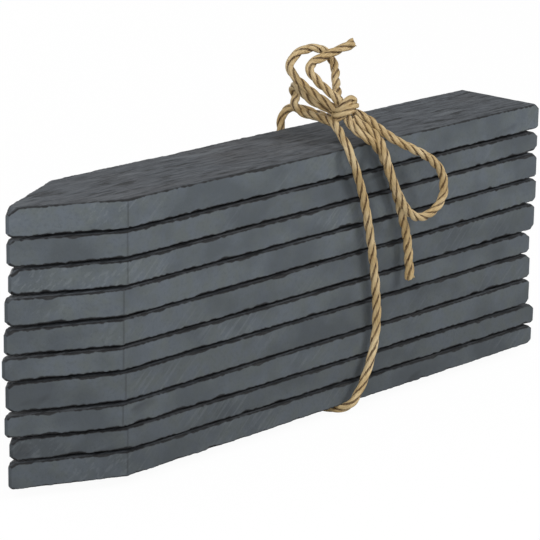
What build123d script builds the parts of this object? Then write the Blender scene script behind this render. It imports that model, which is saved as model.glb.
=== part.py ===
from build123d import *
import math
import os

os.makedirs("parts", exist_ok=True)

# A stack of ten riven slate label stakes, tied once round with a twine that ends in a bow.
# X runs along the stakes from their points to their square ends, Y across them and Z up.
# The origin is on the surface that the stack lies on, under the middle of the stack.

# Driving sizes of a stake, in millimetres
stake_length = 138.3
stake_width = 20.0
point_length = 19.4
tip_width = 0.9
stack_height = 52.0
bed_gap = 0.3

# Driving sizes of the twine
twine_diameter = 1.9
cord_gap = 0.3
pressed_share = 0.1
edge_bend_radius = 1.9
section_sides = 10

# How far a stake may lie out of line with the others, and how far its length and point may differ
stagger = 1.0
length_spread = 1.0
point_spread = 1.0

# A chipped corner at the end of a stake: how far along and how far down it may go
chip_run = 1.8
chip_drop = 1.3

# Where the beds between the stakes lie, as shares of the stack's height, from the lowest up
tip_bed_shares = [0, 0.101, 0.186, 0.276, 0.390, 0.480, 0.580, 0.688, 0.786, 0.891, 1]
butt_bed_shares = [0, 0.081, 0.170, 0.280, 0.386, 0.479, 0.593, 0.695, 0.801, 0.890, 1]

# Each stake's place, length and point, as shares of the three sizes above, from the lowest up
stagger_shares = [0.23, 0.55, -0.56, -0.26, -1.04, -0.55, -0.29, 0.62, 0.28, 0.16]
length_shares = [0.44, 0.54, -0.16, -0.62, -0.23, 0.53, 0.48, -0.57, -0.31, -0.10]
point_shares = [0.15, -0.15, -0.21, 0.16, 0.35, -0.09, -0.33, -0.29, -0.01, 0.20]

# How much of the chip each corner has, from the lowest stake up
tip_top_chip_shares = [0.45, 0.60, 0.35, 0.50, 0.30, 0.65, 0.40, 0.75, 0.50, 0.90]
tip_low_chip_shares = [0.30, 0.45, 0.25, 0.55, 0.40, 0.30, 0.60, 0.35, 0.50, 0.40]
butt_top_chip_shares = [0.35, 0.55, 0.30, 0.60, 0.70, 0.40, 0.30, 0.50, 0.65, 0.55]
butt_low_chip_shares = [0.50, 0.30, 0.55, 0.35, 0.45, 0.60, 0.50, 0.30, 0.40, 0.35]

twine_radius = twine_diameter / 2
pressed_depth = pressed_share * twine_diameter
under_height = twine_radius - pressed_depth
stack_base = twine_diameter - pressed_depth + cord_gap
tip_line = -stake_length / 2


# Slate stakes

def bed_height(number, x):
    """Height of the bed under stake number at x: a plane that may slope along the stack."""
    tip_height = stack_height * tip_bed_shares[number]
    butt_height = stack_height * butt_bed_shares[number]
    along = (x - tip_line) / stake_length
    return stack_base + tip_height + (butt_height - tip_height) * along


def stake_plan(tip, point, butt):
    """Outline seen from above: a blunt V on the centre line, square shoulders and a square butt."""
    side = stake_width / 2
    blunt = tip_width / 2
    return Polyline(
        (tip, -blunt), (tip + point, -side), (butt, -side),
        (butt, side), (tip + point, side), (tip, blunt), close=True,
    )


def stake_side(number, tip, butt):
    """Outline seen from the side: two beds that are not quite parallel, with chipped corners."""
    low_gap = bed_gap / 2 if number > 0 else 0
    top_gap = bed_gap / 2 if number < len(stagger_shares) - 1 else 0

    def low(x):
        return bed_height(number, x) + low_gap

    def top(x):
        return bed_height(number + 1, x) - top_gap

    tip_low = tip_low_chip_shares[number]
    tip_top = tip_top_chip_shares[number]
    butt_low = butt_low_chip_shares[number]
    butt_top = butt_top_chip_shares[number]
    return Polyline(
        (tip + chip_run * tip_low, low(tip + chip_run * tip_low)),
        (butt - chip_run * butt_low, low(butt - chip_run * butt_low)),
        (butt, low(butt) + chip_drop * butt_low),
        (butt, top(butt) - chip_drop * butt_top),
        (butt - chip_run * butt_top, top(butt - chip_run * butt_top)),
        (tip + chip_run * tip_top, top(tip + chip_run * tip_top)),
        (tip, top(tip) - chip_drop * tip_top),
        (tip, low(tip) + chip_drop * tip_low), close=True,
    )


def make_stake(number):
    """One slate: its plan cut out of the slab between its two beds."""
    tip = tip_line + stagger * stagger_shares[number]
    point = point_length + point_spread * point_shares[number]
    butt = tip + stake_length + length_spread * length_shares[number]
    slab = extrude(Plane.XZ * make_face(stake_side(number, tip, butt)), stake_width, both=True)
    blank = extrude(make_face(stake_plan(tip, point, butt)), stack_base + stack_height + stake_width)
    return slab & blank


# Twine

# Points of the twine's route, in millimetres, chosen by hand along its photographed path.
# The turn round the stack starts in the bow, goes through the half knot at the back edge,
# down the back, under the stack, up the front and over the top to the half knot, and back.
band_route = [
    (15.2, -3.4, 58.9), (16.4, -0.6, 56.9), (17.4, 3.2, 56.2), (17.6, 6.8, 56.7),
    (15.9, 10.2, 58.0), (14.0, 11.8, 56.7), (13.8, 11.7, 49.9), (13.2, 11.5, 37.3),
    (11.8, 11.7, 22.3), (10.6, 11.5, 10.3), (10.2, 11.9, under_height), (8.0, -11.9, under_height),
    (13.4, -11.8, 5.8), (16.5, -11.5, 11.8), (17.6, -11.4, 17.3), (17.5, -11.5, 24.3),
    (16.4, -11.4, 32.6), (14.5, -11.5, 40.6), (11.3, -11.7, 48.1), (7.4, -12.2, 54.5),
    (9.3, -8.4, 56.1), (11.2, -5.0, 57.4), (12.9, -1.0, 57.2), (14.0, 3.6, 57.3),
    (14.7, 6.6, 56.2), (12.9, 7.5, 58.3), (15.6, 8.6, 59.9), (13.5, 8.9, 62.1),
    (12.9, 7.6, 63.7), (13.2, 5.0, 62.1), (13.0, 2.0, 60.7), (13.5, -2.6, 59.5),
]
ear_left_route = [
    (13.1, -3.2, 59.9), (10.9, -0.2, 61.9), (9.7, 3.2, 64.4), (9.6, 6.0, 66.9),
    (12.2, 7.2, 69.3), (17.6, 7.6, 70.4), (21.9, 7.0, 69.1), (22.9, 5.2, 65.9),
    (20.5, 2.6, 63.5), (17.0, -1.4, 61.1),
]
tail_upper_route = [
    (14.0, -4.8, 60.5), (12.1, -3.4, 63.6), (10.4, -1.0, 65.8), (9.9, 1.2, 67.8),
    (12.6, 2.4, 69.0), (16.4, 2.4, 69.4), (19.6, 1.6, 70.1), (22.6, 0.6, 71.1),
]
ear_right_route = [
    (16.6, -4.6, 59.1), (18.4, -6.7, 57.5), (19.0, -9.7, 56.0), (20.2, -12.4, 54.2),
    (23.6, -13.6, 52.3), (27.9, -14.4, 50.2), (32.0, -14.8, 46.8), (33.5, -14.8, 43.3),
    (32.4, -14.8, 40.3), (28.8, -14.8, 38.2), (24.7, -14.7, 38.1), (21.3, -14.6, 40.7),
    (19.2, -14.4, 44.6), (17.3, -14.2, 49.2), (16.3, -13.7, 53.1), (16.5, -10.9, 55.4),
    (16.0, -7.9, 56.8), (14.4, -6.5, 58.4),
]
tail_lower_route = [
    (13.7, -5.4, 58.8), (13.3, -7.2, 56.9), (12.7, -11.2, 55.6), (16.0, -11.8, 52.2),
    (18.6, -11.5, 48.3), (21.2, -11.6, 43.9), (23.9, -11.5, 39.0), (25.9, -11.6, 33.6),
    (26.3, -11.8, 28.5), (26.5, -12.1, 25.3),
]

# The bow's knot: one tight turn round the strands, on an axis from the left loop to the right one
knot_centre = (14.3, -4.6, 60.0)
knot_axis = (0.55, -0.67, -0.49)
wrap_radius = 1.65
wrap_pitch = 2.35
wrap_start_share = -0.65
wrap_steps = 10
steps_per_turn = 8
core_radius = 1.7
core_end_radius = 0.8
core_length = 6.4

# A bend takes nearly half of the shorter of its two runs
bend_share = 0.45
# Bends of the band that go round an edge of the stack, by their place in its route
edge_bends = [10, 11]


def bend_radii(route, tight_bends=()):
    """The largest radius that each bend's two runs allow, or the edge's own at a tight bend."""
    corners = [Vector(*point) for point in route]
    runs = [after - before for before, after in zip(corners, corners[1:])]
    radii = []
    for place, (before, after) in enumerate(zip(runs, runs[1:]), start=1):
        half_turn = math.radians(before.get_angle(after)) / 2
        widest = bend_share * min(before.length, after.length) / math.tan(half_turn)
        radii.append(min(widest, edge_bend_radius) if place in tight_bends else widest)
    return radii


def make_cord(name, route, tight_bends=()):
    """A faceted tube on straight runs joined by tangent arcs, with its radii and volume printed."""
    radii = bend_radii(route, tight_bends)
    path = FilletPolyline(*route, radius=radii)
    section = Plane(origin=path @ 0, z_dir=path % 0) * RegularPolygon(twine_radius, section_sides)
    tube = sweep(section, path=path)
    plain_volume = section.area * path.length
    print(name, "length", round(path.length, 1), "radii", [round(radius, 1) for radius in radii])
    print(name, "volume / (section x length)", round(tube.volume / plain_volume, 4))
    return tube


def wrap_route(frame):
    """Points of the knot's turn: a left-hand helix about the frame's Z axis, an eighth of a turn apart."""
    turn_step = -2 * math.pi / steps_per_turn
    corner_radius = wrap_radius / math.cos(turn_step / 2)
    points = []
    for step in range(wrap_steps + 1):
        angle = 2 * math.pi * wrap_start_share + turn_step * step
        rise = wrap_pitch * (step - wrap_steps / 2) / steps_per_turn
        local = Vector(corner_radius * math.cos(angle), corner_radius * math.sin(angle), rise)
        points.append(tuple(frame.from_local_coords(local)))
    return points


def make_knot():
    """The wrap fused to a spindle, which stands for the strands that it squeezes together."""
    frame = Plane(origin=knot_centre, z_dir=knot_axis)
    end = core_length / 2
    stations = [(-end, core_end_radius), (0, core_radius), (end, core_end_radius)]
    rings = [frame.offset(place) * RegularPolygon(radius, section_sides) for place, radius in stations]
    spindle = loft(rings, ruled=True)
    wrap = make_cord("knot wrap", wrap_route(frame))
    return spindle + wrap


def make_band():
    """The turn round the stack, pressed flat where the stack's weight lies on it."""
    tube = make_cord("twine_band", band_route, edge_bends)
    return split(tube, bisect_by=Plane.XY, keep=Keep.TOP)


stakes = {f"stake_{number + 1:02d}": make_stake(number) for number in range(len(stagger_shares))}
twine = {
    "twine_band": make_band(),
    "twine_knot": make_knot(),
    "twine_ear_left": make_cord("twine_ear_left", ear_left_route),
    "twine_ear_right": make_cord("twine_ear_right", ear_right_route),
    "twine_tail_upper": make_cord("twine_tail_upper", tail_upper_route),
    "twine_tail_lower": make_cord("twine_tail_lower", tail_lower_route),
}

for node, solid in {**stakes, **twine}.items():
    export_step(solid, f"parts/{node}.step")
    print(node, "volume", round(solid.volume, 2), "valid", solid.is_valid)
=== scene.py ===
import bpy
import math
import numpy as np
from mathutils import Matrix, Vector


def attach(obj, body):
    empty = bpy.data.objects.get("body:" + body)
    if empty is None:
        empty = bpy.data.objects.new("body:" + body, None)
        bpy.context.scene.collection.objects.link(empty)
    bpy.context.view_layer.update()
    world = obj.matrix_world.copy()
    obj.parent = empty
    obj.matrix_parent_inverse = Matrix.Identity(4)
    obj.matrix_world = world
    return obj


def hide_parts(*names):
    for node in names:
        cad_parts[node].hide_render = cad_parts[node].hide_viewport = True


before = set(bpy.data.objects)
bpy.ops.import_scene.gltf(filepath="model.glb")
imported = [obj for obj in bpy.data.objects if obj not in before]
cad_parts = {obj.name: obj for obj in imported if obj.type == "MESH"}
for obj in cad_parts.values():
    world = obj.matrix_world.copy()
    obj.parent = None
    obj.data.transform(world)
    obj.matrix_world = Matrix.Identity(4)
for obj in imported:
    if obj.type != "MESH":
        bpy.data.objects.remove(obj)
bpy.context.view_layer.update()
mm = 0.001
print("frame loaded")


# Camera: it stands in front of the stack's points, a little above it, with a long lens

cameraValues = {
    "place": (-378.05, -345.47, 171.12),    # mm
    "azimuth": -47.48,                      # degrees
    "elevation": 15.46,
    "roll": 0.95,
    "lens": 183.08,                         # mm on a 36 mm sensor
}


def makeCamera(values):
    azimuth, elevation, roll = (math.radians(values[key]) for key in ("azimuth", "elevation", "roll"))
    back = Vector((
        math.sin(azimuth) * math.cos(elevation),
        -math.cos(azimuth) * math.cos(elevation),
        math.sin(elevation),
    ))
    level = Vector((math.cos(azimuth), math.sin(azimuth), 0))
    upright = back.cross(level)
    right = math.cos(roll) * level + math.sin(roll) * upright
    up = math.cos(roll) * upright - math.sin(roll) * level
    camera = bpy.data.objects.new("camera", bpy.data.cameras.new("camera"))
    camera.matrix_world = Matrix.Translation(Vector(values["place"]) * mm) @ Matrix((
        (right.x, up.x, back.x, 0), (right.y, up.y, back.y, 0), (right.z, up.z, back.z, 0), (0, 0, 0, 1),
    ))
    camera.data.lens = values["lens"]
    camera.data.sensor_width = 36
    camera.data.clip_start = 0.01
    bpy.context.collection.objects.link(camera)
    bpy.context.scene.camera = camera


makeCamera(cameraValues)
print("camera set")


# Shader maths: a Wire is a socket that takes part in sums, a Finish makes the nodes of a material or world

class Wire:
    def __init__(self, finish, socket):
        self.finish = finish
        self.socket = socket

    def math(self, operation, *others):
        return self.finish.node("ShaderNodeMath", {"operation": operation}, {
            place: value for place, value in enumerate((self,) + others)
        })

    def __add__(self, other):
        return self.math("ADD", other)

    def __sub__(self, other):
        return self.math("SUBTRACT", other)

    def __rsub__(self, other):
        return self.finish.node("ShaderNodeMath", {"operation": "SUBTRACT"}, {0: other, 1: self})

    def __mul__(self, other):
        return self.math("MULTIPLY", other)

    __radd__ = __add__
    __rmul__ = __mul__


class Finish:
    def __init__(self, holder):
        self.holder = holder
        holder.use_nodes = True
        self.tree = holder.node_tree
        self.tree.nodes.clear()

    def node(self, kind, settings=None, sockets=None, out=0):
        made = self.tree.nodes.new(kind)
        for key, value in (settings or {}).items():
            if key == "stops":
                self.fillRamp(made.color_ramp, value)
            else:
                setattr(made, key, value)
        for key, value in (sockets or {}).items():
            if isinstance(value, Wire):
                self.tree.links.new(value.socket, made.inputs[key])
            else:
                made.inputs[key].default_value = value
        return Wire(self, made.outputs[out]) if len(made.outputs) else None

    def fillRamp(self, ramp, stops):
        while len(ramp.elements) < len(stops):
            ramp.elements.new(0.5)
        for element, (place, tone) in zip(ramp.elements, stops):
            element.position = place
            element.color = (tone, tone, tone, 1)

    def noise(self, coordinates, scale, stretch=(1, 1, 1), turn=(0, 0, 0), detail=3, roughness=0.55):
        # stretch: how many times longer the pattern is along each axis, once it has been turned
        placed = self.node("ShaderNodeMapping", {"vector_type": "TEXTURE"}, {
            "Vector": coordinates, "Scale": stretch, "Rotation": turn,
        })
        return self.node("ShaderNodeTexNoise", {"noise_dimensions": "3D"}, {
            "Vector": placed, "Scale": scale, "Detail": detail, "Roughness": roughness,
        })

    def split(self, vector):
        parts = self.node("ShaderNodeSeparateXYZ", {}, {0: vector}).socket.node
        return [Wire(self, output) for output in parts.outputs]

    def ramp(self, value, stops):
        return self.node("ShaderNodeValToRGB", {"stops": stops}, {0: value})

    def blend(self, factor, first, second):
        return self.node("ShaderNodeMix", {"data_type": "RGBA", "clamp_factor": True},
                         {0: factor, 6: first, 7: second}, out=2)

    def bump(self, height, strength, distance):
        return self.node("ShaderNodeBump", {}, {"Height": height, "Strength": strength, "Distance": distance})

    def surface(self, **sockets):
        shader = self.node("ShaderNodeBsdfPrincipled", {}, {
            key.replace("_", " "): value for key, value in sockets.items()
        })
        self.node("ShaderNodeOutputMaterial", {}, {"Surface": shader})
        return self.holder


def newFinish(name):
    return Finish(bpy.data.materials.new(name))


def tone(red, green, blue):
    # a colour as seen on screen, 0 to 255, turned to the linear value that a shader takes
    shares = [value / 255 for value in (red, green, blue)]
    return tuple(s / 12.92 if s < 0.04045 else ((s + 0.055) / 1.055) ** 2.4 for s in shares) + (1,)


# Noise and grids for the meshes

def easedNoise(x, y, seed):
    # random heights on a lattice, eased between its points, from -1 to 1
    table = np.random.default_rng(seed).uniform(-1, 1, (256, 256))
    column, row = np.floor(x).astype(int), np.floor(y).astype(int)
    across, along = x - column, y - row
    across, along = across ** 2 * (3 - 2 * across), along ** 2 * (3 - 2 * along)
    corner = [table[(column + i) & 255, (row + j) & 255] for i in (0, 1) for j in (0, 1)]
    near = corner[0] * (1 - along) + corner[1] * along
    far = corner[2] * (1 - along) + corner[3] * along
    return near * (1 - across) + far * across


def layeredNoise(x, y, seed, layers=4, gain=0.5):
    # each layer is twice as fine as the last and gain times as strong
    total = np.zeros(np.broadcast(x, y).shape)
    strength = 1.0
    for layer in range(layers):
        total = total + strength * easedNoise(x * 2 ** layer, y * 2 ** layer, seed + layer)
        strength *= gain
    return total


def gridMesh(name, points):
    # points is rings by places on a ring by 3: faces join each ring to the next, and a fan of
    # triangles closes each end on the middle of its ring
    rings, around = points.shape[:2]
    ring, place = np.meshgrid(np.arange(rings - 1), np.arange(around), indexing="ij")
    beside = (place + 1) % around
    quads = np.stack([
        ring * around + place, (ring + 1) * around + place,
        (ring + 1) * around + beside, ring * around + beside,
    ], -1).reshape(-1, 4)
    vertices = np.vstack([points.reshape(-1, 3), points[0].mean(0), points[-1].mean(0)])
    rim = np.arange(around)
    after = (rim + 1) % around
    start = (rings - 1) * around
    firstFan = np.stack([np.full(around, len(vertices) - 2), rim, after], -1)
    lastFan = np.stack([np.full(around, len(vertices) - 1), start + after, start + rim], -1)
    mesh = bpy.data.meshes.new(name)
    mesh.from_pydata((vertices * mm).tolist(), [], quads.tolist() + firstFan.tolist() + lastFan.tolist())
    mesh.update()
    return mesh


def addPiece(name, mesh, body, replaced, finishes):
    piece = bpy.data.objects.new(name, mesh)
    bpy.context.collection.objects.link(piece)
    for finish in finishes:
        mesh.materials.append(finish)
    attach(piece, body)
    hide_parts(*replaced)
    return piece


# Twine: three strands laid together, one lobed surface carried along each route

twineValues = {
    "diameter": 1.9,         # mm
    "layLength": 8.4,        # one whole turn of a strand, looser where the twine is drawn tight
    "tightLayLength": 10.8,
    "creaseDepth": 0.50,     # share of the radius
    "creaseSharpness": 2.7,
    "ply": 0.030,            # mm, the folds within a strand
    "plyLean": 0.55,
    "step": 0.15,            # along the twine
    "around": 72,
    "fray": 1.25,            # width at a cut end
    "frayLength": 2.6,       # mm
    "fill": 0.94,            # share of the diameter that the strands reach on average
    "wander": 0.9,           # radians, by which the lay runs slow or fast
    # paleAndHighlight: paler fibre, and partly painted highlight
    "dark": (160, 131, 83), "light": (210, 184, 134), "paleAndHighlight": (236, 215, 172),
    # creaseShade: painted shade laid into the grooves between strands
    "folded": (140, 101, 55), "hair": (126, 92, 48), "creaseShade": (66, 36, 10),
}

# Routes in mm: those of the solids, with points moved onto the photographed twine
routes = {
    "twine_band": [
        (15.2, -3.4, 58.9), (16.2, -0.6, 57.5), (17.3, 3.2, 56.8), (17.6, 6.8, 57.1),
        (15.9, 10.2, 58.0), (14.0, 11.8, 56.7), (13.8, 11.7, 49.9), (13.2, 11.5, 37.3),
        (11.8, 11.7, 22.3), (10.6, 11.5, 10.3), (10.2, 11.9, 0.76), (8.0, -11.9, 0.76),
        (13.4, -11.8, 5.8), (16.5, -11.5, 11.8), (17.6, -11.4, 17.3), (17.0, -11.5, 24.3),
        (15.6, -11.4, 32.5), (13.7, -11.5, 40.4), (10.7, -11.7, 48.0), (7.1, -12.1, 54.5),
        (9.0, -8.4, 56.2), (10.9, -5.0, 57.7), (12.9, -1.0, 57.5), (14.0, 3.6, 57.5),
        (14.9, 6.8, 57.2), (13.5, 8.0, 58.8), (15.6, 9.2, 60.2), (14.6, 9.6, 62.0),
        (13.9, 7.6, 62.9), (13.2, 5.0, 61.5), (13.0, 2.0, 60.2), (13.5, -2.6, 59.5),
    ],
    "twine_ear_left": [
        (13.1, -3.2, 59.9), (10.9, -0.2, 62.3), (9.7, 3.2, 64.7), (9.6, 6.0, 66.9),
        (12.2, 7.2, 69.1), (17.4, 7.6, 70.0), (21.7, 7.0, 68.8), (22.5, 5.2, 65.8),
        (19.6, 2.6, 63.3), (16.1, -1.4, 61.0),
    ],
    "twine_tail_upper": [
        (14.0, -4.8, 60.5), (12.1, -3.4, 62.8), (10.4, -1.0, 65.2), (9.9, 1.2, 67.5),
        (12.6, 2.4, 68.4), (16.4, 2.4, 69.2), (19.6, 1.6, 70.1), (22.6, 0.6, 71.1),
    ],
    "twine_ear_right": [
        (16.6, -4.6, 59.1), (18.4, -6.7, 57.9), (19.0, -9.7, 56.0), (20.2, -12.4, 54.2),
        (23.6, -13.6, 52.3), (27.9, -14.4, 50.2), (32.0, -14.8, 46.8), (33.0, -14.8, 43.3),
        (32.4, -14.8, 40.3), (28.8, -14.8, 38.2), (24.7, -14.7, 38.1), (21.3, -14.6, 40.7),
        (18.9, -14.4, 44.6), (16.7, -14.2, 49.1), (15.7, -13.7, 53.0), (16.5, -10.9, 55.4),
        (16.0, -7.9, 56.8), (14.4, -6.5, 58.4),
    ],
    "twine_tail_lower": [
        (13.7, -5.4, 58.8), (13.3, -7.2, 56.9), (13.2, -11.0, 55.7), (16.9, -11.6, 52.7),
        (19.8, -11.5, 48.1), (21.9, -11.6, 43.8), (23.9, -11.5, 39.0), (25.9, -11.6, 33.6),
        (26.3, -11.8, 28.5), (26.5, -12.1, 25.3),
    ],
    "twine_knot": [
        (13.8, -3.0, 58.8), (12.2, -3.9, 58.2), (11.8, -5.6, 59.2), (13.2, -6.8, 60.3),
        (15.1, -6.6, 60.7), (16.5, -4.7, 61.0), (15.6, -3.0, 59.9), (13.5, -3.2, 59.2),
        (12.6, -4.7, 59.9), (13.0, -5.7, 61.2), (14.4, -5.7, 62.1), (16.1, -5.3, 61.6),
        (16.5, -4.3, 60.5),
    ],
}


def smoothLine(name, route):
    # the points of a NURBS spline through the route, read back from a curve with no bevel
    data = bpy.data.curves.new(name + "_line", "CURVE")
    data.dimensions = "3D"
    data.resolution_u = 24
    spline = data.splines.new("NURBS")
    spline.points.add(len(route) - 1)
    spline.points.foreach_set("co", [value for point in route for value in (*point, 1)])
    spline.order_u = 3
    spline.use_endpoint_u = True
    holder = bpy.data.objects.new(name + "_line", data)
    bpy.context.collection.objects.link(holder)
    depsgraph = bpy.context.evaluated_depsgraph_get()
    mesh = bpy.data.meshes.new_from_object(holder.evaluated_get(depsgraph))
    points = np.empty(len(mesh.vertices) * 3)
    mesh.vertices.foreach_get("co", points)
    bpy.data.meshes.remove(mesh)
    bpy.data.objects.remove(holder)
    return points.reshape(-1, 3)


def evenly(points, step):
    # the same line with its points a step apart, and the length at each
    runs = np.linalg.norm(np.diff(points, axis=0), axis=1)
    reach = np.concatenate([[0], np.cumsum(runs)])
    count = max(8, int(round(reach[-1] / step)))
    places = np.linspace(0, reach[-1], count + 1)
    return np.stack([np.interp(places, reach, points[:, k]) for k in range(3)], -1), places


def framesAlong(points):
    # tangents, and normals that turn no more than the line itself does
    tangents = np.gradient(points, axis=0)
    tangents /= np.linalg.norm(tangents, axis=1)[:, None]
    normal = np.cross(tangents[0], (0.3, 0.2, 0.9))
    normals = []
    for tangent in tangents:
        normal = normal - tangent * normal.dot(tangent)
        normal = normal / np.linalg.norm(normal)
        normals.append(normal)
    normals = np.array(normals)
    return tangents, normals, np.cross(tangents, normals)


def laidTwine(name, line, values, seed, lay, frayEnd=False, flatFloor=False):
    # at length s and angle a, the radius is R (1 - depth |t| ^ sharpness), t being how far a - 2 pi s / lay
    # lies from the middle of its strand, from -1 to 1
    points, places = evenly(line, values["step"])
    tangents, normals, sides = framesAlong(points)
    angle = np.linspace(0, 2 * np.pi, values["around"], endpoint=False)[None, :]
    along = places[:, None]
    length = places[-1]
    phase = angle - 2 * np.pi * along / lay + values["wander"] * easedNoise(along / 11, along * 0, seed + 1)
    strand = phase * 3 / (2 * np.pi)
    number = np.floor(strand + 0.5)
    offset = (strand - number) * 2
    kind = np.mod(number, 3)
    radius = values["diameter"] / 2 * (values["fill"] + 0.04 * easedNoise(along / 7, along * 0 + 3.3, seed))
    depth = values["creaseDepth"] * (1 + 0.3 * easedNoise(along / 1.9, kind * 1.7, seed + 2))
    swell = 1 + 0.06 * easedNoise(along / 2.4, kind * 3.1 + 7, seed + 3)
    lobed = radius * swell * (1 - depth * np.abs(offset) ** values["creaseSharpness"])
    folds = offset * 2.1 + along * values["plyLean"] + kind * 5.3
    lobed = lobed + values["ply"] * layeredNoise(folds * 1.6, along / 2.6 + kind * 11, seed + 4, 3, 0.6)
    if frayEnd:
        near = np.clip(1 - (length - along) / values["frayLength"], 0, 1)
        lobed = lobed * (1 + (values["fray"] - 1) * near ** 1.5) * (1 - 0.5 * near * np.abs(offset) ** 2)
    spoke = np.cos(angle)[..., None] * normals[:, None] + np.sin(angle)[..., None] * sides[:, None]
    surface = points[:, None] + lobed[..., None] * spoke
    if frayEnd:
        uneven = easedNoise(kind * 2.3 + angle * 2, along * 0, seed + 5)
        push = 0.5 * np.clip(1 - (length - along) / 1.2, 0, 1) * uneven
        surface = surface + push[..., None] * tangents[:, None]
    if flatFloor:
        surface[..., 2] = np.maximum(surface[..., 2], 0)
    mesh = gridMesh(name, surface)
    mesh.shade_smooth()
    addTwineMap(mesh, "lay", (offset, along, kind), offset.shape)
    addTwineMap(mesh, "round", (np.cos(angle), np.sin(angle), along), offset.shape)
    return mesh, points * mm


def addTwineMap(mesh, name, columns, shape):
    # the twine's own coordinates, kept at each vertex: lay is the place across a strand, the length in mm
    # and which strand; round is the place about the twine's middle and the length
    flat = np.zeros((len(mesh.vertices), 3), np.float32)
    for column, value in enumerate(columns):
        flat[: shape[0] * shape[1], column] = np.broadcast_to(value, shape).ravel()
    attribute = mesh.attributes.new(name, "FLOAT_VECTOR", "POINT")
    attribute.data.foreach_set("vector", flat.ravel())


def twineFinish(values):
    finish = newFinish("twine_straw")
    tones = {key: tone(*values[key]) for key in ("dark", "light", "paleAndHighlight", "folded", "hair", "creaseShade")}
    lay = finish.node("ShaderNodeAttribute", {"attribute_name": "lay"}, out=1)
    across, length, kind = finish.split(lay)
    about = finish.node("ShaderNodeAttribute", {"attribute_name": "round"}, out=1)
    # painted shade: a dark brown is mixed in where two strands meet, in place of the shade of the groove
    creaseShade = across.math("ABSOLUTE")
    fibre = finish.noise(about, 7.0, (1, 1, 18), detail=4, roughness=0.6)
    hair = finish.noise(about, 19, (1, 1, 33), detail=2)
    seat = finish.node("ShaderNodeCombineXYZ", {}, {
        0: across * 1.5 + length * 0.55 + kind * 5.3, 1: length * 0.16 + kind * 11.0, 2: kind * 3.0,
    })
    fold = finish.noise(seat, 3.2, detail=3, roughness=0.6)
    coordinates = finish.node("ShaderNodeTexCoord", {}, out=3)
    patch = finish.noise(coordinates, 210, detail=2)
    straw = finish.blend(finish.ramp(fibre, [(0.30, 0), (0.66, 1)]), tones["dark"], tones["light"])
    # pale patches, partly paler fibre and partly painted highlight
    straw = finish.blend(finish.ramp(patch, [(0.40, 0), (0.70, 0.65)]), straw, tones["paleAndHighlight"])
    straw = finish.blend(finish.ramp(fold, [(0.30, 0.75), (0.44, 0)]), straw, tones["folded"])
    straw = finish.blend(finish.ramp(hair, [(0.28, 0.55), (0.42, 0)]), straw, tones["hair"])
    # the painted shade in the grooves, broken up by the fold noise
    creaseShadeMask = creaseShade + (fold - 0.5) * 0.9
    straw = finish.blend(finish.ramp(creaseShadeMask, [(0.62, 0), (0.86, 0.97)]), straw, tones["creaseShade"])
    grain = finish.bump(fibre + hair * 0.5 + fold * 0.8, 0.7, 0.00016)
    return finish.surface(Base_Color=straw, Roughness=0.58, Normal=grain)


straw = twineFinish(twineValues)
twineKinds = {
    "twine_band": {"lay": twineValues["tightLayLength"], "flatFloor": True},
    "twine_ear_left": {"lay": twineValues["layLength"]},
    "twine_ear_right": {"lay": twineValues["layLength"]},
    "twine_tail_upper": {"lay": twineValues["layLength"], "frayEnd": True},
    "twine_tail_lower": {"lay": twineValues["layLength"], "frayEnd": True},
    "twine_knot": {"lay": twineValues["layLength"]},
}
twinePieces = {}
for place, (name, kind) in enumerate(twineKinds.items()):
    route = smoothLine(name, routes[name])
    mesh, line = laidTwine(name + "_laid", route, twineValues, 40 + 7 * place, **kind)
    piece = addPiece(name + "_laid", mesh, "tie", [name], [straw])
    twinePieces[name] = (piece, line)

for name, farEnd, lay, beside in (
    ("twine_ear_left", "object", "loose", [twinePieces["twine_tail_upper"][0]]),
    ("twine_ear_right", "object", "hanging", []),
    ("twine_tail_lower", "bare", "hanging", []),
):
    piece, line = twinePieces[name]
print("twine laid")


# Slate stakes: a closed grid round each one, with riven beds, sawn sides and chipped corners

slateValues = {
    "ringStep": 0.25,         # mm along the stake
    "across": 40,             # places across a bed
    "down": 14,               # places down a side
    "flakeHeight": 0.12,      # mm, how deep the riven beds dip
    "waveHeight": 0.07,
    "chipDepth": 0.39,
    "chipReach": 0.55,
    "cornerHeight": 0.26,     # how far down a side its chips reach
    "chipFloor": 0.16,        # share of the depth that every corner has lost
    "crispAngle": 19,         # degrees, above which an edge is drawn sharp
    "sawWave": 0.03,
    "fullWearAndShade": 0.24,         # mm of chip at which the broken stone and the painted shade of the gaps are darkest
    "arrisShade": 0.34,        # how dark the painted shade line down the upright edge at a shoulder is, and how far it reaches in mm
    "arrisReach": 0.45,
}


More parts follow.
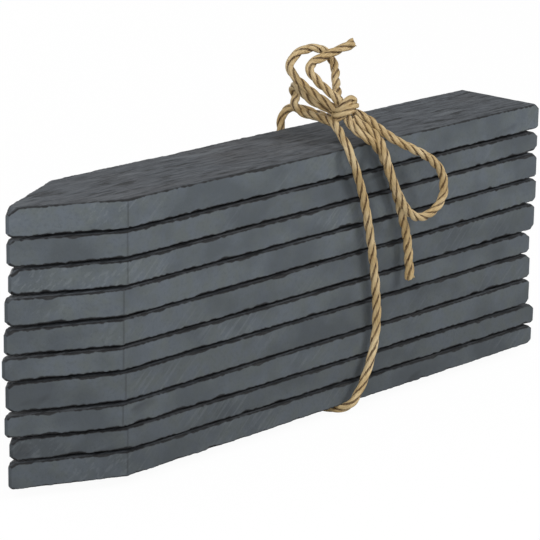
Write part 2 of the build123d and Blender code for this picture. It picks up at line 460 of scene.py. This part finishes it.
def stakeShape(node):
    # where the solid's beds, shoulders and ends lie, read from its own corners, in mm
    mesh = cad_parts[node].data
    corners = np.empty(len(mesh.vertices) * 3)
    mesh.vertices.foreach_get("co", corners)
    corners = corners.reshape(-1, 3) / mm
    half = -corners[:, 1].min()
    side = corners[corners[:, 1] < -half + 0.01]
    shoulder, butt = side[:, 0].min(), side[:, 0].max()
    tip = corners[:, 0].min()
    blunt = np.abs(corners[corners[:, 0] < tip + 0.01][:, 1]).max()
    atShoulder = side[side[:, 0] < shoulder + 0.01][:, 2]
    inner = side[(side[:, 0] > shoulder + 1) & (side[:, 0] < butt - 0.01)]
    low, top = inner[inner[:, 2].argmin()], inner[inner[:, 2].argmax()]
    atButt = side[side[:, 0] > butt - 0.01][:, 2]
    atTip = corners[corners[:, 0] < tip + 0.01][:, 2]
    lowSlope = (low[2] - atShoulder.min()) / (low[0] - shoulder)
    topSlope = (top[2] - atShoulder.max()) / (top[0] - shoulder)
    ridge = corners[np.abs(corners[:, 1]) < half - 0.5]
    ridge = ridge[ridge[:, 0] > tip + 0.01]
    return {
        "half": half, "tip": tip, "shoulder": shoulder, "butt": butt, "blunt": blunt,
        "low": atShoulder.min(), "top": atShoulder.max(), "lowSlope": lowSlope, "topSlope": topSlope,
        "tipLow": atTip.min(), "tipTop": atTip.max(),
        "tipLowRun": ridge[ridge[:, 2].argmin()][0] - tip if len(ridge) else 0.6,
        "tipTopRun": ridge[ridge[:, 2].argmax()][0] - tip if len(ridge) else 0.9,
        "buttLow": atButt.min(), "buttTop": atButt.max(),
        "buttLowRun": butt - low[0], "buttTopRun": butt - top[0],
    }


def spread(count, crowding):
    # places from -1 to 1, closer together near both ends
    t = np.linspace(-1, 1, count)
    return np.tanh(crowding * t) / np.tanh(crowding)


def endDrop(gap, run, drop):
    # how much a chipped end corner lowers a bed, at a distance from the end
    return drop * np.clip(1 - gap / max(run, 0.01), 0, 1)


def rivenBed(x, y, seed, values):
    # terraces of split slate: layered noise, long in X, cut into steps and eased, plus a slow wave
    field = 0.5 + 0.42 * layeredNoise(x / 19, y / 4.6, seed, 4, 0.5)
    steps = field * 4
    step = np.floor(steps)
    rise = np.clip((steps - step - 0.5) / 0.16 + 0.5, 0, 1)
    terrace = (step + rise * rise * (3 - 2 * rise)) / 4
    wave = 0.5 + 0.5 * layeredNoise(x / 33, y / 17, seed + 11, 2)
    fine = 0.5 + 0.5 * layeredNoise(x / 2.4, y / 0.8, seed + 23, 3)
    split = values["flakeHeight"] * (1 - np.clip(terrace, 0, 1))
    return split + values["waveHeight"] * np.clip(wave, 0, 1) ** 2 + 0.035 * np.clip(fine, 0, 1)


def cornerChips(x, seed, values):
    # how far a long corner is broken away at x: a few shells and a fine ragged line
    line = x * 0 + 0.5
    shells = np.clip(layeredNoise(x / 4.5, line, seed, 3, 0.6) - 0.36, 0, 1) ** 1.1
    slow = 0.5 + 0.5 * layeredNoise(x / 18, line, seed + 9, 2)
    ragged = 0.5 + 0.5 * layeredNoise(x / 1.3, line, seed + 5, 3, 0.8)
    loss = 0.72 * shells + 0.34 * np.clip(ragged, 0, 1.3) + 0.16 * slow + values["chipFloor"]
    return values["chipDepth"] * np.clip(loss, 0, 1.1)


def stakeMesh(name, shape, seed, values):
    length = shape["butt"] - shape["tip"]
    count = int(length / values["ringStep"])
    x = shape["tip"] + length * (spread(count, 1.9) + 1) / 2
    x[np.abs(x - shape["shoulder"]).argmin()] = shape["shoulder"]
    x = x[:, None]
    widening = np.clip((x - shape["tip"]) / (shape["shoulder"] - shape["tip"]), 0, 1)
    half = shape["blunt"] + (shape["half"] - shape["blunt"]) * widening

    def bedPlane(side):
        return shape[side] + shape[side + "Slope"] * (x - shape["shoulder"])

    fromTip, fromButt = x - shape["tip"], shape["butt"] - x
    topPlane, lowPlane = bedPlane("top"), bedPlane("low")
    topDrop = endDrop(fromTip, shape["tipTopRun"], topPlane[0] - shape["tipTop"])
    topDrop = topDrop + endDrop(fromButt, shape["buttTopRun"], topPlane[-1] - shape["buttTop"])
    lowDrop = endDrop(fromTip, shape["tipLowRun"], shape["tipLow"] - lowPlane[0])
    lowDrop = lowDrop + endDrop(fromButt, shape["buttLowRun"], shape["buttLow"] - lowPlane[-1])

    columns = spread(values["across"], 1.6)[None, :]
    rows = spread(values["down"], 1.9)[None, :]
    # the four long corners: front top, back top, front low, back low
    chips = [cornerChips(x, seed + 31 * k, values) for k in range(4)]
    uneven = [0.6 + 0.4 * easedNoise(x / 3, x * 0, seed + k) for k in range(4)]
    inset = [0.30 * chip * share for chip, share in zip(chips, uneven)]

    def bed(side, frontChip, backChip, frontInset, backInset):
        left, right = -half + frontInset, half - backInset
        y = (left + right) / 2 + columns * (right - left) / 2
        front = np.clip(1 - (y - left) / values["chipReach"], 0, 1) ** 1.5
        back = np.clip(1 - (right - y) / values["chipReach"], 0, 1) ** 1.5
        dip = rivenBed(x, y, seed + (3 if side == "top" else 7), values)
        dip = dip + frontChip * front + backChip * back
        dip = dip + (topDrop if side == "top" else lowDrop)
        z = bedPlane(side) - dip if side == "top" else bedPlane(side) + dip
        # the last value darkens the bed's broken edges: partly wear, partly painted shade where the bed faces
        # the gap to the next stake
        return y, z, (frontChip * np.sqrt(front) + backChip * np.sqrt(back)) / values["fullWearAndShade"]

    topY, topZ, topWearAndShade = bed("top", chips[0], chips[1], inset[0], inset[1])
    lowY, lowZ, lowWearAndShade = bed("low", chips[2], chips[3], inset[2], inset[3])

    def flank(sign, start, end, fromChip, toChip, seedStep):
        # a sawn side from one corner to the other, full width between its chips
        fromY, fromZ = start
        toY, toZ = end
        z = fromZ + (toZ - fromZ) * (rows + 1) / 2
        saw = values["sawWave"] * (0.5 + 0.5 * layeredNoise(x / 9, z / 3, seed + seedStep, 3))
        flat = half - np.clip(saw, 0, 0.1)
        nearFrom = np.clip(1 - np.abs(z - fromZ) / values["cornerHeight"], 0, 1) ** 2
        nearTo = np.clip(1 - np.abs(z - toZ) / values["cornerHeight"], 0, 1) ** 2
        y = flat - (flat - np.abs(fromY)) * nearFrom - (flat - np.abs(toY)) * nearTo
        # painted shade: a dark line down the upright edge at the shoulder
        arris = values["arrisShade"] * np.clip(1 - np.abs(x - shape["shoulder"]) / values["arrisReach"], 0, 1)
        # the side's broken corners darken the same way: partly wear, partly painted shade
        wear = (fromChip * np.sqrt(nearFrom) + toChip * np.sqrt(nearTo)) / values["fullWearAndShade"]
        return sign * y, z, np.maximum(wear, arris)

    topFront, topBack = (topY[:, :1], topZ[:, :1]), (topY[:, -1:], topZ[:, -1:])
    lowFront, lowBack = (lowY[:, :1], lowZ[:, :1]), (lowY[:, -1:], lowZ[:, -1:])
    backY, backZ, backWearAndShade = flank(1, topBack, lowBack, chips[1], chips[3], 51)
    frontY, frontZ, frontWearAndShade = flank(-1, lowFront, topFront, chips[2], chips[0], 67)

    def joined(top, back, low, front):
        return np.hstack([top[:, :-1], back[:, :-1], low[:, ::-1][:, :-1], front[:, :-1]])

    y = joined(topY, backY, lowY, frontY)
    z = joined(topZ, backZ, lowZ, frontZ)
    wear = np.clip(joined(topWearAndShade, backWearAndShade, lowWearAndShade, frontWearAndShade), 0, 1)
    body = np.stack([np.broadcast_to(x, y.shape), y, z], -1)

    def cap(ring, sign, seedStep):
        # the end face: the last ring drawn in towards its middle line
        middle = ring.mean(0)
        shrink = np.array([0.985, 0.93, 0.8, 0.6, 0.4, 0.2])[:, None, None]
        drawn = middle + (ring[None] - middle) * shrink
        uneven = layeredNoise(drawn[..., 1] / 2.2, drawn[..., 2] / 1.4, seed + seedStep, 3)
        rough = 0.10 * (0.5 + 0.5 * uneven)
        drawn[..., 0] = ring[None, :, 0] - sign * np.clip(rough, 0, 0.2)
        return drawn

    tipCap = cap(body[0], -1, 81)[::-1]
    buttCap = cap(body[-1], 1, 93)
    surface = np.concatenate([tipCap, body, buttCap])
    mesh = gridMesh(name, surface[:, ::-1])
    markFinishes(mesh, surface.shape[0], surface.shape[1], values, len(tipCap), len(buttCap))
    shares = np.zeros(len(mesh.vertices), np.float32)
    start = len(tipCap) * wear.shape[1]
    shares[start: start + wear.size] = wear[:, ::-1].ravel()
    # the darkening of broken corners and the painted gap shade, kept at each vertex
    mesh.attributes.new("wear", "FLOAT", "POINT").data.foreach_set("value", shares)
    mesh.shade_smooth()
    mesh.set_sharp_from_angle(angle=math.radians(values["crispAngle"]))
    return mesh


def markFinishes(mesh, rings, around, values, tipRings, buttRings):
    # material 0 on the riven beds, 1 on the sawn sides and ends
    place = np.arange(around)[::-1]
    across, down = values["across"] - 1, values["down"] - 1
    sawn = ((place >= across) & (place < across + down)) | (place >= 2 * across + down)
    rowKinds = np.broadcast_to(sawn, (rings - 1, around)).copy()
    rowKinds[:tipRings] = True
    rowKinds[-buttRings:] = True
    kinds = np.ones(len(mesh.polygons), np.int32)
    kinds[: rowKinds.size] = rowKinds.ravel()
    mesh.polygons.foreach_set("material_index", kinds)


def wornAndShadedStone(finish, colour, amount):
    # broken corners are darker than the face beside them: partly the stone's own broken surface, partly
    # painted shade in the gaps between the stakes
    wear = finish.node("ShaderNodeAttribute", {"attribute_name": "wear"}, out=2)
    return finish.blend(finish.ramp(wear, [(0.12, 0), (0.62, amount)]), colour, tone(20, 21, 23))


def placedCoordinates(finish, seed):
    # every stake reads its own part of the patterns
    coordinates = finish.node("ShaderNodeTexCoord", {}, out=3)
    place = (seed * 0.37, seed * 0.11, 0)
    return finish.node("ShaderNodeMapping", {}, {"Vector": coordinates, "Location": place})


# Tones of the stone as seen on screen, 0 to 255, before each stake's scale of tone and painted shade
rivenTones = {
    "dark": (58, 62, 67), "light": (93, 98, 104), "brown": (84, 80, 78),
    "black": (34, 36, 39), "pale": (114, 119, 124),
}
sawnTones = {
    "base": (96, 104, 112), "green": (95, 102, 102), "dark": (74, 81, 87),
    "black": (44, 47, 51), "pale": (122, 129, 134),
}


def shadedTones(tones, shade):
    return {key: tone(*(value * shade for value in values)) for key, values in tones.items()}


def rivenFinish(name, seed, shade):
    finish = newFinish(name)
    tones = shadedTones(rivenTones, shade)
    placed = placedCoordinates(finish, seed)
    streak = finish.noise(placed, 1300, (7.5, 1, 1), detail=4, roughness=0.70)
    flake = finish.noise(placed, 420, (5.5, 1, 1), detail=4, roughness=0.65)
    cloud = finish.noise(placed, 60, (2, 1, 1), detail=2)
    dash = finish.noise(placed, 800, (6.2, 1, 1), (0, 0, 0.05), detail=3, roughness=0.6)
    colour = finish.blend(finish.ramp(streak, [(0.36, 0), (0.62, 1)]), tones["dark"], tones["light"])
    colour = finish.blend(finish.ramp(cloud, [(0.46, 0), (0.74, 0.45)]), colour, tones["brown"])
    colour = finish.blend(finish.ramp(dash, [(0.36, 0.85), (0.45, 0)]), colour, tones["black"])
    colour = finish.blend(finish.ramp(flake, [(0.57, 0), (0.70, 0.55)]), colour, tones["pale"])
    colour = wornAndShadedStone(finish, colour, 0.96)
    relief = finish.bump(streak * 0.7 + flake * 0.7 + dash * 0.6, 0.6, 0.00035)
    roughness = finish.ramp(flake, [(0.3, 0.56), (0.7, 0.74)])
    return finish.surface(Base_Color=colour, Roughness=roughness, Normal=relief)


def sawnFinish(name, seed, shade):
    finish = newFinish(name)
    tones = shadedTones(sawnTones, shade)
    placed = placedCoordinates(finish, seed)
    grain = finish.noise(placed, 1500, detail=3, roughness=0.65)
    mottle = finish.noise(placed, 330, detail=3, roughness=0.6)
    cloud = finish.noise(placed, 85, (1.3, 1, 1), detail=3)
    scratch = finish.noise(placed, 1500, (1, 1, 14), (0, 0.87, 0), detail=2)
    patch = finish.noise(placed, 45, detail=1)
    smudge = finish.noise(placed, 130, (2.6, 1, 0.8), (0, -0.2, 0), detail=2)
    colour = finish.blend(finish.ramp(mottle, [(0.38, 0), (0.62, 0.8)]), tones["base"], tones["green"])
    colour = finish.blend(finish.ramp(cloud, [(0.36, 0.75), (0.56, 0)]), colour, tones["dark"])
    lines = finish.ramp(scratch, [(0.54, 0), (0.62, 1)]) * finish.ramp(patch, [(0.52, 0), (0.64, 0.32)])
    colour = finish.blend(lines, colour, tones["pale"])
    colour = finish.blend(finish.ramp(smudge, [(0.67, 0), (0.74, 0.5)]), colour, tones["black"])
    colour = finish.blend(finish.ramp(grain, [(0.33, 0.35), (0.50, 0)]), colour, tones["dark"])
    colour = wornAndShadedStone(finish, colour, 0.96)
    relief = finish.bump(grain + scratch * 0.5 + mottle, 0.4, 0.00014)
    return finish.surface(Base_Color=colour, Roughness=0.66, Normal=relief)


# each stake's colour scale: painted shade, with the lower stakes darker as the light falls off towards the
# bottom of the stack, plus some tone that differs from stake to stake
stakeTonesWithPaintedShade = [0.86, 0.84, 0.90, 0.87, 0.92, 0.91, 0.95, 0.97, 0.94, 0.98]
for number, shade in enumerate(stakeTonesWithPaintedShade):
    node = f"stake_{number + 1:02d}"
    riven = rivenFinish(node + "_riven", number + 1, shade)
    sawn = sawnFinish(node + "_sawn", number + 1, shade)
    mesh = stakeMesh(node + "_slate", stakeShape(node), 200 + 300 * number, slateValues)
    addPiece(node + "_slate", mesh, node, [node], [riven, sawn])
print("slates cut")


# Floor, light and background

floorValues = {
    "reach": 6.0,            # metres from the middle to each edge
    "whiteness": 0.55,
    "backdropShare": 0.90,   # share of plain white in the floor that the camera sees
    "backdropStrength": 1.06,
}


def makeFloor(values):
    reach = values["reach"]
    corners = [(-reach, -reach, 0), (reach, -reach, 0), (reach, reach, 0), (-reach, reach, 0)]
    mesh = bpy.data.meshes.new("floor")
    mesh.from_pydata(corners, [], [(0, 1, 2, 3)])
    floor = bpy.data.objects.new("floor", mesh)
    bpy.context.collection.objects.link(floor)
    finish = newFinish("floor_white")
    seen = finish.node("ShaderNodeLightPath", {}, out=0)
    grey = (values["whiteness"], values["whiteness"], values["whiteness"], 1)
    plain = finish.node("ShaderNodeBsdfDiffuse", {}, {"Color": grey})
    bright = finish.node("ShaderNodeEmission", {}, {"Strength": values["backdropStrength"]})
    share = seen * values["backdropShare"]
    both = finish.node("ShaderNodeMixShader", {}, {0: share, 1: plain, 2: bright})
    finish.node("ShaderNodeOutputMaterial", {}, {"Surface": both})
    mesh.materials.append(finish.holder)


# Lamps: their places in metres, all aimed at the stack
lampValues = [
    {"name": "key", "place": (0.48, -0.60, 0.52), "size": 0.30, "power": 3.5},
    {"name": "fill", "place": (-0.58, -0.42, 0.44), "size": 0.6, "power": 4.0},
    {"name": "top", "place": (-0.05, 0.15, 0.95), "size": 0.8, "power": 0.6},
    {"name": "back", "place": (0.25, 0.80, 0.12), "size": 0.22, "power": 2.2},
]


def makeLamp(values):
    lamp = bpy.data.lights.new(values["name"], "AREA")
    lamp.size = values["size"]
    lamp.energy = values["power"]
    holder = bpy.data.objects.new(values["name"], lamp)
    holder.location = values["place"]
    aim = Vector((0, 0, 0.03)) - Vector(values["place"])
    holder.rotation_euler = aim.to_track_quat("-Z", "Y").to_euler()
    bpy.context.collection.objects.link(holder)


def makeWorld(roomStrength):
    # white behind everything that the camera sees, and a dim even light for all else
    world = bpy.data.worlds.new("studio")
    studio = Finish(world)
    seen = studio.node("ShaderNodeLightPath", {}, out=0)
    white = studio.node("ShaderNodeBackground", {}, {"Color": (1, 1, 1, 1)})
    room = studio.node("ShaderNodeBackground", {}, {"Color": (1, 1, 1, 1), "Strength": roomStrength})
    both = studio.node("ShaderNodeMixShader", {}, {0: seen, 1: room, 2: white})
    studio.node("ShaderNodeOutputWorld", {}, {"Surface": both})
    bpy.context.scene.world = world


makeFloor(floorValues)
for values in lampValues:
    makeLamp(values)
makeWorld(0.30)
bpy.context.scene.view_settings.view_transform = "Standard"
print("studio lit")
